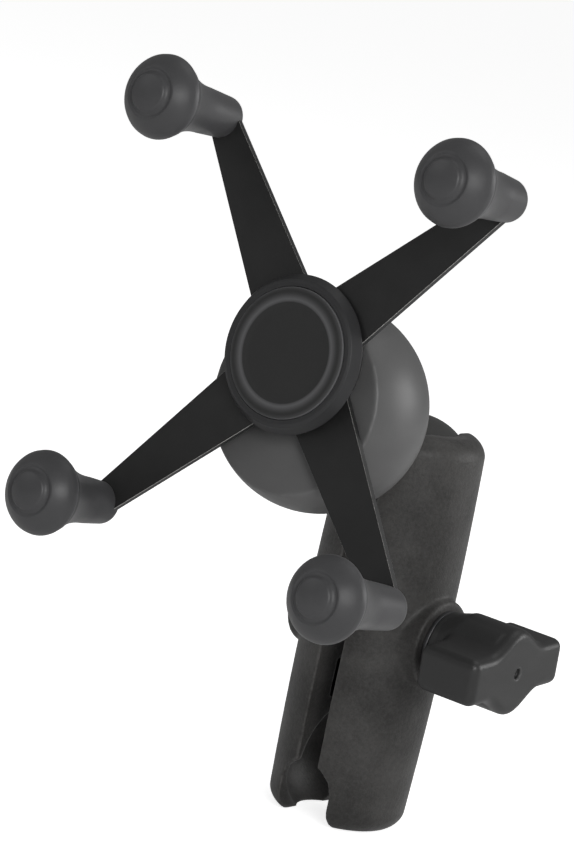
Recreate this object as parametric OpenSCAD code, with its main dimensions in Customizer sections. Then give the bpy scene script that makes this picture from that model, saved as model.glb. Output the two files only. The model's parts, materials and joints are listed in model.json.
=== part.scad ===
// Spring-loaded phone cradle on a ball-ended clamp arm.
// Row frame: origin at the centre of the empty lower ball socket, +Z up the arm,
// +X towards the clamp knob, -Y towards the person who looks at the phone.

/* [Ball and arm] */
// Diameter of the balls that the arm clamps
ball_d = 25.4; // [24:0.1:31]
// Distance between the two socket centres
arm_pitch = 62; // [50:0.5:90]
// Wall between a socket and the outside of the arm at its middle
arm_wall = 2.1; // [1.8:0.1:5]
// How much slimmer the arm is at each end than at its middle, on the diameter
arm_barrel = 1.8; // [0.5:0.1:2.4]
// How far a clamped ball stands out past the end of the arm
ball_proud = 2.3; // [1.4:0.1:3.6]
// Radius of the rounded end corners of the arm
arm_corner = 4.6; // [2:0.1:6]
// Gap between the two arm halves when they are clamped
arm_gap = 4.9; // [3:0.1:6]
// Clearance between a ball and its socket
socket_gap = 0.06; // [0.02:0.01:0.1]
// Play on each side of the ball's neck in the slot that it swings in
neck_play = 0.85; // [0.5:0.05:2]
// How far past the socket centre the round end of that slot is centred
slot_in = 3.5; // [2:0.1:5]

/* [Clamp bolt and knob] */
// Diameter of the clamp bolt
bolt_d = 6.35; // [5:0.05:8]
// Diameter of the bolt's round head
bolt_head_d = 12.6; // [10:0.1:13]
// Height of the bolt's round head
bolt_head_h = 2.6; // [2:0.1:3.5]
// Diameter of the round boss on each arm half
boss_d = 18.4; // [16:0.2:20]
// How far each boss stands proud of the arm
boss_h = 1.4; // [0.8:0.1:3]
// Thickness of the steel washer under the knob
washer_t = 0.9; // [0.6:0.1:1.5]
// Length of the knob's wing
wing_l = 32; // [26:0.5:40]
// Thickness of the wing at its ends
wing_t = 9.6; // [7:0.2:12]
// Diameter of the swelling at the middle of the wing
wing_mid_d = 18; // [17:0.2:22]
// Depth of the wing along the bolt
wing_h = 13.8; // [11:0.2:18]
// Length of the knob's stem, between the washer and the wing
stem_h = 3.9; // [2.5:0.1:6]
// Angle at which the wing stands, from level
wing_angle = 5; // [-90:1:90]
// Wall of the brass thread insert
insert_wall = 1.4; // [0.9:0.1:2.2]
// Play between the bolt and the spring that parts the arm halves
part_play = 1.3; // [0.6:0.1:1.8]
// Wire diameter of that spring
part_wire = 1.2; // [0.8:0.1:1.6]

/* [Ball and stud] */
// Thickness of the rubber on the ball
jacket_t = 1.6; // [1:0.1:2.5]
// Diameter of the rubber collar on the ball's neck
collar_d = 10; // [9:0.1:10.4]
// Diameter of the bare neck
neck_d = 8.4; // [7.6:0.1:8.8]
// Diameter of the stud that the hub turns on
stud_d = 6; // [5:0.1:6.6]
// Tilt of the stud above the cradle's normal
stud_tilt = 14; // [8:0.5:18]
// Lean of the cradle's face, back from the line of the arm
cradle_lean = 8.4; // [0:0.1:15]

/* [Hub] */
// Radius of the domed housing
dome_r = 21; // [19:0.1:23]
// Length of the neck, from the ball to the dome's flat rear face
neck_len = 7.9; // [7:0.1:12]
// Depth of that flat face in the dome
dome_flat = 1.3; // [0.9:0.1:2]
// Distance from the dome's centre forward to the housing's front face
face_depth = 9.8; // [8:0.1:11]
// Height of the legs' pivot above the dome's centre
pivot_lift = 8.25; // [7.5:0.05:9.5]
// Wall between the ball's neck and the pocket for the stud nut
stud_wall = 4; // [3:0.1:5]
// Diameter of the pivot bolt
pivot_d = 5; // [4:0.1:6]
// Wall of the steel bush that the legs turn on
bush_wall = 1.5; // [0.8:0.1:2]
// Thickness of the thin washers between the legs
shim_t = 0.4; // [0.3:0.05:0.8]
// Width of the thin washers' rings
shim_ring = 1.6; // [1:0.1:2.4]
// Diameter of the front cover at the legs
cover_d = 31; // [28:0.5:36]
// Diameter of the front cover at its front edge
cover_front_d = 28.4; // [26:0.2:30]
// Thickness of the front cover
cover_t = 2.6; // [2.5:0.1:5]
// Diameter of the rubber pad
pad_d = 25.4; // [22:0.2:26]
// Thickness of the rubber pad
pad_t = 1.6; // [1.4:0.1:3]
// How deep the pad sits in the cover
pad_sink = 1.1; // [0.8:0.1:1.2]

/* [Legs] */
// Distance across the four posts, side to side, at rest
post_span_x = 68.4; // [60:0.2:80]
// Distance across the four posts, top to bottom, at rest
post_span_z = 79; // [70:0.5:95]
// Thickness of the leg sheet
leg_t = 1.4; // [1:0.1:2]
// Width of a leg at its post
leg_tip_w = 6.2; // [5:0.1:7]
// Width of a leg at the hub
leg_root_w = 15; // [12:0.2:18]
// Diameter of the leg's disc round the pivot
leg_disc_d = 26; // [25:0.2:28]
// How far each leg turns from rest to its widest stop
open_angle = 21; // [10:0.5:24]
// How far each leg turns from rest to its closed stop
close_angle = 7; // [3:0.5:12]
// Wire diameter of the torsion spring
leg_wire = 1.6; // [1.2:0.1:1.8]
// Number of full turns of the torsion spring
leg_coils = 3; // [2:1:3]

/* [Posts and caps] */
// Diameter of a steel post
post_d = 5; // [4:0.1:6]
// Diameter of a cap's head
cap_d = 16.6; // [15:0.1:19]
// How far the head's face is crowned
cap_crown = 5; // [3:0.1:5.5]
// Thickness of the head's rim
cap_rim = 1.4; // [0.6:0.1:1.6]
// Diameter of the cap's neck, below the head
cap_neck_d = 9.2; // [9:0.1:11]
// Diameter of the cap where it covers the end of the leg
cap_foot_d = 8.4; // [8.4:0.1:10]
// How far the cap's rounded foot reaches behind its leg
cap_foot_h = 1.5; // [1.3:0.1:3]
// Distance from the hub's pad to the head's rim
grip_depth = 13.9; // [10:0.1:18]

/* [Hidden] */
$fn = 96;

// small clearances and overlaps
seat_gap = 0.05;
run_gap = 0.07;
face_gap = 0.1;
over = 0.5;
wire_steps = 24;
far = 200;

// arm
ball_r = ball_d / 2;
socket_r = ball_r + socket_gap;
arm_mid = arm_pitch / 2;
arm_r = ball_r + arm_wall;
arm_end = ball_r - ball_proud;
slot_w = collar_d + 2 * neck_play;
half_face = arm_gap / 2;
arm_len = arm_pitch + 2 * arm_end;
barrel_steps = 8;
corner_blend = 0.08;
boss_face = arm_r + boss_h;
bolt_bore_d = bolt_d + 0.4;
head_recess_d = bolt_head_d + 0.6;
neck_square = bolt_d + 0.2;
neck_square_h = 4;
part_spring_d = bolt_d + 2 * (part_play + part_wire);
part_spring_turns = 4;
pocket_d = part_spring_d + 1.2;
pocket_deep = 5;
core_wall = 2;
core_cut_h = arm_mid - ball_r - pocket_d / 2 - 2 * core_wall;
core_cut_z = arm_mid - pocket_d / 2 - core_wall - core_cut_h / 2;
core_cut_w = 14;
core_cut_deep = 6;

// knob
stem_face = boss_face + washer_t + face_gap;
wing_face = stem_face + stem_h;
knob_top = wing_face + wing_h;
knob_end_wall = 4.2;
bolt_tip = knob_top - knob_end_wall;
stem_d = boss_d - 3.2;
stem_top_d = wing_mid_d - 0.6;
washer_d = stem_d - 0.6;
insert_d = bolt_d + 2 * (seat_gap + insert_wall);
insert_groove = 1;
insert_groove_deep = 0.5;
wing_round = 1.6;
wing_swell = 9.7;
gate_d = 2.2;
gate_deep = 1.2;

// ball and stud
core_r = ball_r - jacket_t;
dome_back = ball_r + neck_len;
dome_reach = dome_back + dome_r - dome_flat;
collar_end = dome_back - 4.4;
flange_d = neck_d + 4;
flange_t = 1.2;
nut_seat = dome_back + stud_wall;
stud_washer_t = 1;
stud_end = 1.4;
stud_nut_h = 4.6;
stud_nut_d = stud_d * 1.9;
stud_washer_d = stud_nut_d + 0.4;
stud_tip = nut_seat + stud_washer_t + stud_nut_h + stud_end;
nut_pocket_d = stud_washer_d + 1.4;

// hub stack, measured forward from the ball's centre
hub_face = dome_reach * cos(stud_tilt) + face_depth;
pivot_rise = dome_reach * sin(stud_tilt) + pivot_lift;
rear_bar = hub_face + shim_t + face_gap;
middle_z = rear_bar + leg_t + face_gap;
front_bar = middle_z + shim_t + face_gap;
front_z = front_bar + leg_t + face_gap;
cover_back = front_z + shim_t;
cover_front = cover_back + cover_t;
pad_back = cover_front - pad_sink;
pad_front = pad_back + pad_t;
pivot_boss_wall = 1.9;
pivot_boss_r = pivot_d / 2 + pivot_boss_wall;
pivot_boss_back = stud_tip * cos(stud_tilt) + stud_nut_d / 2 * sin(stud_tilt);
pivot_boss_end = 1;
pivot_hole_back = pivot_boss_back + pivot_boss_end;
pivot_tip = pivot_hole_back + 0.6;
pivot_head_d = pivot_d * 1.8;
pivot_head_h = 1;
pivot_head_back = pad_back - pivot_head_h - face_gap;
pivot_drive_d = pivot_d * 0.92;
pivot_drive_floor = 0.35;
bush_d = pivot_d + 2 * (seat_gap + bush_wall);
shim_d = bush_d + 2 * shim_ring;
spring_play = 0.25;
spring_r = shim_d / 2 + spring_play + leg_wire / 2;
spring_out_r = spring_r + leg_wire + spring_play;
spring_pocket_r = spring_out_r + leg_wire / 2 + 0.6;
spring_pitch = leg_wire + 0.25;
spring_bend = leg_wire * 0.9;
spring_run_out = 60;
spring_front = hub_face - 0.9 - leg_wire / 2;
spring_floor = spring_front - (leg_coils + 1) * spring_pitch - leg_wire;
hook_hole_d = leg_wire + 0.6;
slot_end_ease = 0.1;
rear_hook_at = 90;
front_hook_at = 270;
pad_edge = 0.4;
leg_seat_h = 4.5;

// legs and posts, in the plane of the legs
post_x = post_span_x / 2;
post_z = post_span_z / 2;
post_reach = norm([post_x, post_z]);
leg_angle = atan2(post_z, post_x);
rivet_d = post_d - 1.2;
rivet_head_d = post_d + 1.2;
rivet_head_h = 0.8;
rim_back = pad_front + grip_depth;
crown_r = (pow(cap_d / 2, 2) + pow(cap_crown, 2)) / (2 * cap_crown);
cap_front = rim_back + cap_rim + cap_crown;
post_tip = rim_back - 1;
cap_slot_gap = 0.1;
flare_h = 13;
flare_r = 25;
foot_round = 2.2;
ring_groove_r = 4.3;
ring_groove_w = 1.1;
ring_groove_deep = 0.5;
ring_groove_z = cap_front - crown_r + sqrt(pow(crown_r, 2) - pow(ring_groove_r, 2)) - ring_groove_deep;

// ---- placing ----

// Cradle frame: origin at the upper ball's centre, y back, z up the cradle.
module in_cradle() {
    translate([0, 0, arm_pitch]) rotate([-cradle_lean, 0, 0]) children();
}

// z runs from the ball's centre along the stud, towards the hub.
module on_stud() {
    in_cradle() rotate([90 - stud_tilt, 0, 0]) children();
}

// z runs forward along the legs' pivot, x to the right and y up.
module on_pivot() {
    in_cradle() translate([0, 0, pivot_rise]) rotate([90, 0, 0]) children();
}

// z runs along the clamp bolt, away from the arm on the knob's side.
module on_bolt() {
    translate([0, 0, arm_mid]) rotate([0, 90, 0]) children();
}

module tube(outer_d, inner_d, h) {
    difference() {
        cylinder(d = outer_d, h = h);
        translate([0, 0, -over]) cylinder(d = inner_d, h = h + 2 * over);
    }
}

// A round wire along a path of [radius, angle, height] points about the z axis.
module wire(path, wire_d, nsides = 8) {
    last = len(path) - 1;
    line = [for (p = path) [p[0] * cos(p[1]), p[0] * sin(p[1]), p[2]]];
    points = [for (i = [0:last], j = [0:nsides - 1])
        let (run = line[min(i + 1, last)] - line[max(i - 1, 0)], b = 360 * j / nsides,
            out = [cos(path[i][1]), sin(path[i][1]), 0], side = cross(out, run / norm(run)))
        line[i] + wire_d / 2 * (cos(b) * out + sin(b) * side)];
    sides = [for (i = [0:last - 1], j = [0:nsides - 1])
        let (k = (j + 1) % nsides)
        [i * nsides + j, (i + 1) * nsides + j, (i + 1) * nsides + k, i * nsides + k]];
    start_cap = [for (j = [0:nsides - 1]) j];
    end_cap = [for (j = [nsides - 1:-1:0]) last * nsides + j];
    polyhedron(points, concat(sides, [start_cap, end_cap]), convexity = 8);
}

// ---- arm ----

// Radius of the barrel at height z above its middle.
function barrel_at(z) = arm_r - arm_barrel / 2 * pow(z / (arm_len / 2), 2);

// Half outline of the barrel, to be turned about the arm's axis.
module barrel_outline() {
    half = arm_len / 2;
    corner_x = barrel_at(half - arm_corner) - arm_corner;
    side = [for (i = [-barrel_steps:barrel_steps]) let (z = half * i / barrel_steps) [barrel_at(z), z]];
    difference() {
        polygon(concat([[0, -half]], side, [[0, half]]));
        for (end = [-1, 1]) translate([corner_x, end * (half - arm_corner)]) difference() {
            translate([0, end > 0 ? 0 : -arm_corner - over]) square(arm_corner + over);
            circle(r = arm_corner + corner_blend);
        }
    }
}

// One half of the arm with both sockets; its boss is on the +X side.
module arm_half() {
    difference() {
        union() {
            intersection() {
                translate([0, 0, arm_mid]) rotate_extrude() barrel_outline();
                translate([half_face, -far / 2, -far / 2]) cube(far);
            }
            on_bolt() translate([0, 0, half_face + over])
                cylinder(d = boss_d, h = boss_face - half_face - over);
        }
        for (z = [0, arm_pitch]) translate([0, 0, z]) sphere(r = socket_r);
        for (end = [-1, 1]) translate([0, 0, arm_mid + end * (arm_mid + slot_in)])
            rotate([90, 0, 0]) {
                cylinder(d = slot_w, h = far, center = true);
                translate([-slot_w / 2, end > 0 ? 0 : -2 * arm_end, -far / 2])
                    cube([slot_w, 2 * arm_end, far]);
            }
        for (end = [-1, 1]) translate([half_face - over, -core_cut_w / 2,
            arm_mid + end * (arm_mid - core_cut_z) - core_cut_h / 2])
            cube([core_cut_deep + over, core_cut_w, core_cut_h]);
        on_bolt() translate([0, 0, half_face - over])
            cylinder(d = pocket_d, h = pocket_deep + over);
    }
}

module far_arm_half() {
    hole = neck_square + 2 * seat_gap;
    color("#3a3a38") difference() {
        mirror([1, 0, 0]) arm_half();
        on_bolt() translate([0, 0, -boss_face]) {
            translate([0, 0, -over]) cylinder(d = head_recess_d, h = bolt_head_h + over);
            translate([-hole / 2, -hole / 2, 0]) cube([hole, hole, bolt_head_h + neck_square_h + seat_gap]);
            cylinder(d = bolt_bore_d, h = boss_face);
        }
    }
}

module near_arm_half() {
    color("#3a3a38") difference() {
        arm_half();
        on_bolt() cylinder(d = bolt_bore_d, h = far);
    }
}

module clamp_bolt() {
    seat = -boss_face + bolt_head_h;
    head_r = (pow(bolt_head_d / 2, 2) + pow(bolt_head_h, 2)) / (2 * bolt_head_h);
    color("silver") on_bolt() {
        intersection() {
            translate([0, 0, seat - bolt_head_h + head_r]) sphere(r = head_r);
            translate([0, 0, seat - bolt_head_h - over]) cylinder(d = far / 4, h = bolt_head_h + over);
        }
        translate([-neck_square / 2, -neck_square / 2, seat]) cube([neck_square, neck_square, neck_square_h]);
        translate([0, 0, seat]) cylinder(d = bolt_d, h = bolt_tip - seat);
    }
}

module parting_spring() {
    room = arm_gap + 2 * pocket_deep - 2 * seat_gap - part_wire;
    rings = part_spring_turns * wire_steps;
    mean_r = (part_spring_d - part_wire) / 2;
    coils = [for (i = [0:rings]) [mean_r, 360 * i / wire_steps, room * (i / rings - 0.5)]];
    color("dimgray") on_bolt() wire(coils, part_wire);
}

module knob_washer() {
    color("silver") on_bolt() translate([0, 0, boss_face]) tube(washer_d, bolt_bore_d, washer_t);
}

// Half thickness of the wing at distance u from the bolt's axis.
function wing_half(u) = abs(u) > wing_swell ? wing_t / 2
    : wing_t / 2 + (wing_mid_d - wing_t) / 4 * (1 + cos(180 * u / wing_swell));

module wing_outline() {
    tip = wing_l / 2 - wing_round;
    steps = 28;
    edge = [for (i = [0:steps]) let (u = -tip + 2 * tip * i / steps) [u, wing_half(u)]];
    corner = [for (a = [60, 30, 0])
        [tip + wing_round * cos(a), wing_t / 2 - wing_round + wing_round * sin(a)]];
    right = concat(edge, corner);
    polygon(concat(right, [for (p = right) -p]));
}

module clamp_knob() {
    color("#2e2e2e") on_bolt() rotate([0, 0, 90 + wing_angle]) difference() {
        union() {
            translate([0, 0, stem_face]) cylinder(d1 = stem_d, d2 = stem_top_d, h = stem_h + over);
            translate([0, 0, wing_face]) linear_extrude(wing_h) wing_outline();
        }
        translate([0, 0, stem_face - over])
            cylinder(d = insert_d + 2 * seat_gap, h = bolt_tip - stem_face + over + face_gap);
        translate([0, 0, knob_top - gate_deep]) cylinder(d = gate_d, h = gate_deep + over);
    }
}

module knob_insert() {
    h = bolt_tip - stem_face;
    color("goldenrod") on_bolt() translate([0, 0, stem_face]) difference() {
        tube(insert_d, bolt_d + 2 * seat_gap, h);
        for (at = [h / 3, h * 2 / 3]) translate([0, 0, at - insert_groove / 2])
            tube(insert_d + 2 * over, insert_d - 2 * insert_groove_deep, insert_groove);
    }
}

// ---- ball ----

module ball_core() {
    color("darkgray") on_stud() {
        sphere(r = core_r);
        cylinder(d = neck_d, h = dome_back - flange_t);
        translate([0, 0, dome_back - flange_t - face_gap]) cylinder(d = flange_d, h = flange_t);
        cylinder(d = stud_d, h = stud_tip);
    }
}

module ball_jacket() {
    color("#4a4a4a") on_stud() difference() {
        union() {
            sphere(r = ball_r);
            cylinder(d = collar_d, h = collar_end);
        }
        sphere(r = core_r + seat_gap);
        cylinder(d = neck_d + 2 * seat_gap, h = far);
    }
}

module stud_washer() {
    color("silver") on_stud() translate([0, 0, nut_seat + face_gap])
        tube(stud_washer_d, stud_d + 2 * seat_gap, stud_washer_t);
}

module stud_nut() {
    color("silver") on_stud() translate([0, 0, nut_seat + face_gap + stud_washer_t]) difference() {
        cylinder(d = stud_nut_d, h = stud_nut_h, $fn = 6);
        translate([0, 0, -over]) cylinder(d = stud_d + 2 * seat_gap, h = stud_nut_h + 2 * over);
    }
}

// ---- hub ----

module hub_housing() {
    color("#6b6b6a") difference() {
        union() {
            difference() {
                intersection() {
                    union() {
                        on_stud() translate([0, 0, dome_reach]) sphere(r = dome_r);
                        on_pivot() translate([0, 0, hub_face - leg_seat_h])
                            cylinder(d = leg_disc_d, h = leg_seat_h + over);
                    }
                    on_stud() translate([0, 0, dome_back]) cylinder(d = far, h = far);
                    on_pivot() translate([0, 0, hub_face - far]) cylinder(d = far, h = far);
                }
                on_pivot() translate([0, 0, spring_floor]) cylinder(r = spring_pocket_r, h = far);
                on_stud() translate([0, 0, nut_seat]) cylinder(d = nut_pocket_d, h = far);
            }
            on_pivot() translate([0, 0, pivot_boss_back])
                cylinder(r = pivot_boss_r, h = hub_face - pivot_boss_back);
        }
        on_pivot() translate([0, 0, pivot_hole_back]) cylinder(d = pivot_d + 2 * seat_gap, h = far);
        on_stud() cylinder(d = stud_d + 2 * run_gap, h = nut_seat + over);
    }
}

module hub_cover() {
    color("#262626") on_pivot() difference() {
        translate([0, 0, cover_back]) cylinder(d1 = cover_d, d2 = cover_front_d, h = cover_t);
        translate([0, 0, cover_back - over]) cylinder(d = pivot_d + 2 * seat_gap, h = far);
        translate([0, 0, pivot_head_back]) cylinder(d = pivot_head_d + 0.4, h = far);
        translate([0, 0, pad_back]) cylinder(d = pad_d + 2 * seat_gap, h = far);
    }
}

module hub_pad() {
    color("#1c1c1c") on_pivot() translate([0, 0, pad_back]) {
        cylinder(d = pad_d, h = pad_t - pad_edge);
        translate([0, 0, pad_t - pad_edge]) cylinder(d1 = pad_d, d2 = pad_d - 2 * pad_edge, h = pad_edge);
    }
}

module pivot_bush() {
    color("silver") on_pivot() translate([0, 0, hub_face])
        tube(bush_d, pivot_d + 2 * seat_gap, cover_back - hub_face);
}

module pivot_bolt() {
    color("silver") on_pivot() difference() {
        union() {
            translate([0, 0, pivot_tip]) cylinder(d = pivot_d, h = pivot_head_back - pivot_tip + over);
            translate([0, 0, pivot_head_back]) cylinder(d = pivot_head_d, h = pivot_head_h);
        }
        translate([0, 0, pivot_head_back + pivot_drive_floor]) cylinder(d = pivot_drive_d, h = far, $fn = 6);
    }
}

module shim(z) {
    color("gainsboro") on_pivot() translate([0, 0, z]) tube(shim_d, bush_d + 2 * seat_gap, shim_t);
}

module rear_shim() {
    shim(hub_face);
}

module middle_shim() {
    shim(middle_z);
}

module front_shim() {
    shim(front_z);
}

// The coils end close behind the rear bar, bent forward into it. They start at the
// floor, where the wire runs out to a larger radius and is bent forward outside
// the coils, through the rear bar's slot and into the front bar.
module torsion_spring() {
    turn_end = rear_hook_at - spring_bend / spring_r * 180 / PI;
    turn_start = front_hook_at + spring_bend / spring_out_r * 180 / PI - 360 * (leg_coils + 1);
    turn = turn_end - turn_start;
    rings = round(turn / 360 * wire_steps);
    coils = [for (i = [0:rings])
        let (a = turn * i / rings, out = max(0, 1 - a / spring_run_out))
        [spring_r + (spring_out_r - spring_r) * pow(sin(90 * out), 2), turn_start + a,
            spring_front + spring_pitch * (a - turn) / 360]];
    bend = [for (b = [0:22.5:90]) [sin(b) * spring_bend, (1 - cos(b)) * spring_bend]];
    start_bend = [for (i = [len(bend) - 1:-1:1])
        [spring_out_r, turn_start - bend[i][0] / spring_out_r * 180 / PI, coils[0][2] + bend[i][1]]];
    end_bend = [for (i = [1:len(bend) - 1])
        [spring_r, turn_end + bend[i][0] / spring_r * 180 / PI, spring_front + bend[i][1]]];
    color("dimgray") on_pivot() wire(concat(
        [[spring_out_r, front_hook_at, front_bar + leg_t]], start_bend, coils, end_bend,
        [[spring_r, rear_hook_at, rear_bar + leg_t]]), leg_wire);
}

// ---- legs and posts ----

// A bar of two legs through the pivot; angle is the way its upper leg points.
module bar_outline(angle, grow = 0) {
    root = leg_root_w / 2 + grow;
    tip = leg_tip_w / 2 + grow;
    rotate(angle) {
        polygon([[-post_reach, -tip], [0, -root], [post_reach, -tip],
            [post_reach, tip], [0, root], [-post_reach, tip]]);
        for (side = [-1, 1]) translate([side * post_reach, 0]) circle(r = tip + 0.05);
    }
}

// The children are cut out of the bar as well.
module leg_bar(angle, back) {
    color("#141414") on_pivot() translate([0, 0, back]) linear_extrude(leg_t) difference() {
        union() {
            bar_outline(angle);
            circle(d = leg_disc_d);
        }
        circle(d = bush_d + 2 * run_gap);
        for (side = [-1, 1]) rotate(angle) translate([side * post_reach, 0])
            circle(d = rivet_d + 2 * seat_gap);
        children();
    }
}

module hook_hole(r, angle, ease = 0) {
    rotate(angle) translate([r, 0]) circle(d = hook_hole_d + ease);
}

// The slot that the spring's long hook swings in; its ends are the legs' stops.
module stop_slot() {
    first = front_hook_at - 2 * open_angle;
    last = front_hook_at + 2 * close_angle;
    intersection() {
        difference() {
            circle(r = spring_out_r + hook_hole_d / 2);
            circle(r = spring_out_r - hook_hole_d / 2);
        }
        polygon(concat([[0, 0]], [for (a = [first, (first + last) / 2, last])
            2 * spring_out_r * [cos(a), sin(a)]]));
    }
    for (a = [first, last]) hook_hole(spring_out_r, a, slot_end_ease);
}

module leg_bar_a() {
    leg_bar(leg_angle, front_bar) hook_hole(spring_out_r, front_hook_at);
}

module leg_bar_b() {
    leg_bar(180 - leg_angle, rear_bar) {
        hook_hole(spring_r, rear_hook_at);
        stop_slot();
    }
}

// side and top are -1 or 1; back is the rear face of the leg that carries the post.
module on_post(side, top) {
    on_pivot() translate([side * post_x, top * post_z, 0]) children();
}

module post(side, top, back) {
    color("silver") on_post(side, top) {
        translate([0, 0, back - rivet_head_h]) cylinder(d = rivet_head_d, h = rivet_head_h);
        translate([0, 0, back - rivet_head_h]) cylinder(d = rivet_d, h = leg_t + rivet_head_h + over);
        translate([0, 0, back + leg_t]) cylinder(d = post_d, h = post_tip - back - leg_t);
    }
}

// Half outline of a cap: rounded foot, slim neck, flare and crowned head.
module cap_outline(back) {
    cap_back = back - cap_foot_h;
    neck_end = rim_back - flare_h;
    neck = cap_neck_d / 2;
    foot = cap_foot_d / 2;
    translate([0, cap_back]) square([foot - foot_round, foot_round]);
    translate([foot - foot_round, cap_back + foot_round]) intersection() {
        circle(r = foot_round);
        translate([-over, -foot_round]) square([foot_round + over, foot_round]);
    }
    polygon([[0, cap_back + foot_round], [foot, cap_back + foot_round], [neck, neck_end], [0, neck_end]]);
    difference() {
        translate([0, neck_end]) square([cap_d / 2 - 0.5, flare_h]);
        translate([neck + flare_r, neck_end]) circle(r = flare_r);
    }
    translate([0, rim_back]) square([cap_d / 2, cap_rim]);
    intersection() {
        translate([0, cap_front - crown_r]) circle(r = crown_r);
        translate([0, rim_back + cap_rim]) square([cap_d / 2, cap_crown + over]);
    }
}

module cap(side, top, back) {
    angle = top * side > 0 ? leg_angle : 180 - leg_angle;
    color("#505052") difference() {
        on_post(side, top) difference() {
            rotate_extrude() cap_outline(back);
            translate([0, 0, back + leg_t]) cylinder(d = post_d + 2 * seat_gap, h = post_tip - back - leg_t);
            translate([0, 0, back - rivet_head_h - seat_gap])
                cylinder(d = rivet_head_d + 2 * seat_gap, h = rivet_head_h + over);
            translate([0, 0, ring_groove_z])
                tube(2 * ring_groove_r + ring_groove_w, 2 * ring_groove_r - ring_groove_w, cap_crown);
        }
        on_pivot() translate([0, 0, back - seat_gap])
            linear_extrude(leg_t + 2 * seat_gap) bar_outline(angle, cap_slot_gap);
    }
}

module post_upper_right() {
    post(1, 1, front_bar);
}

module post_lower_left() {
    post(-1, -1, front_bar);
}

module post_upper_left() {
    post(-1, 1, rear_bar);
}

module post_lower_right() {
    post(1, -1, rear_bar);
}

module cap_upper_right() {
    cap(1, 1, front_bar);
}

module cap_lower_left() {
    cap(-1, -1, front_bar);
}

module cap_upper_left() {
    cap(-1, 1, rear_bar);
}

module cap_lower_right() {
    cap(1, -1, rear_bar);
}

far_arm_half();
near_arm_half();
clamp_bolt();
parting_spring();
knob_washer();
clamp_knob();
knob_insert();
ball_core();
ball_jacket();
stud_washer();
stud_nut();
hub_housing();
hub_cover();
hub_pad();
pivot_bush();
pivot_bolt();
rear_shim();
middle_shim();
front_shim();
torsion_spring();
leg_bar_a();
leg_bar_b();
post_upper_right();
post_lower_left();
post_upper_left();
post_lower_right();
cap_upper_right();
cap_lower_left();
cap_upper_left();
cap_lower_right();
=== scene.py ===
"""Phone handlebar mount: a spring-loaded cradle with four capped posts, on a double-socket clamp arm."""

import json
import math

import bmesh
import bpy
import numpy as np
from bpy.props import FloatProperty, FloatVectorProperty, IntProperty, PointerProperty
from mathutils import Matrix, Vector


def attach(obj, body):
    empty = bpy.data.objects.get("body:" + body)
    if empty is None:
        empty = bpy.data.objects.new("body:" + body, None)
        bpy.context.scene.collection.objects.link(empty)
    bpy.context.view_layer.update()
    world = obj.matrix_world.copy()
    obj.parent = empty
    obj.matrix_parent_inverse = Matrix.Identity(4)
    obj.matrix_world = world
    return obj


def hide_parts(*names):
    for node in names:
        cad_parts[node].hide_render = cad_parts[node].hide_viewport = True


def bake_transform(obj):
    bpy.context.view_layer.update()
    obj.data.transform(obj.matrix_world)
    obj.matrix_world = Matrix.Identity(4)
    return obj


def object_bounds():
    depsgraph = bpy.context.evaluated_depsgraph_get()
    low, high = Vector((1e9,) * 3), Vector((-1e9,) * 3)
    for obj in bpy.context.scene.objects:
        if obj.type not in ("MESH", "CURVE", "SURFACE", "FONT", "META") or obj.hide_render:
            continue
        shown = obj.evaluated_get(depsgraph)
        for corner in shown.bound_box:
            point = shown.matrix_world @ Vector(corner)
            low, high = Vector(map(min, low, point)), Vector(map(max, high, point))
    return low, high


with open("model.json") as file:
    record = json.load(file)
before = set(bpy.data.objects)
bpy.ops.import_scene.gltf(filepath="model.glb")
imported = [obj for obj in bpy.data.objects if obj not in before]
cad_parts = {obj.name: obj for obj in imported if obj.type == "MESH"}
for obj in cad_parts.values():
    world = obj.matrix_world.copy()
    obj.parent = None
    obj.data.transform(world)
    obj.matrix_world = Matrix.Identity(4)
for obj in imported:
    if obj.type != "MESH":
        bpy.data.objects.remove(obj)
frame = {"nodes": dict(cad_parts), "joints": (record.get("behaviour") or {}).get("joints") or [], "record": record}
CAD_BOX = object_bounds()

bl_info = {
    "name": "Phone handlebar mount",
    "version": (1, 0, 0),
    "blender": (4, 5, 0),
    "location": "View3D > Sidebar > Phone mount",
    "description": "Builds the visible pieces of a phone handlebar mount around its packed frame",
    "category": "Add Mesh",
}

MM = 0.001

# The camera: where it stands, and the directions of the picture's right and up.
CAMERA_AT = Vector((0.40364, -0.64946, 0.20438))
CAMERA_RIGHT = Vector((0.79024, 0.57541, 0.21076))
CAMERA_UP = Vector((-0.27420, 0.02443, 0.96136))
CAMERA_LENS = 163.87
CAMERA_SENSOR = 36.0

# How bright the white surround and the floor are, as light on the object and as the camera sees them.
SURROUND_LIGHT = 0.18
SURROUND_SEEN = 0.95
FLOOR_GLOW = 0.925
FLOOR_LIGHT_SHARE = 0.12

# Soft boxes: where they stand from the object's middle, their side and their power.
LIGHTS = {
    "key": ((0.8, -0.7, 0.45), 0.5, 6.6),
    "fill": ((-0.7, -0.6, 0.6), 0.6, 1.1),
    "top": ((0.1, 0.35, 0.95), 0.6, 1.2),
    "edge": ((0.7, 0.75, 0.3), 0.4, 3.4),
}


# ---- places taken from the frame ----

def place(origin, z_axis, x_axis):
    """A matrix whose local z and x run along the two directions given, from origin."""
    z = Vector(z_axis).normalized()
    x = (Vector(x_axis) - z * Vector(x_axis).dot(z)).normalized()
    turn = Matrix((x, z.cross(x), z)).transposed()
    return Matrix.Translation(Vector(origin)) @ turn.to_4x4()


def joint(name):
    """The record's joint of that name."""
    return next(j for j in frame["joints"] if j["name"] == name)


RIGHT = Vector((1, 0, 0))
UP = Vector((0, 0, 1))
# Along the clamp bolt, towards the knob, with x up the arm.
ON_BOLT = place(joint("knob_turn")["pos_m"], joint("knob_turn")["axis"], UP)
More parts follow.
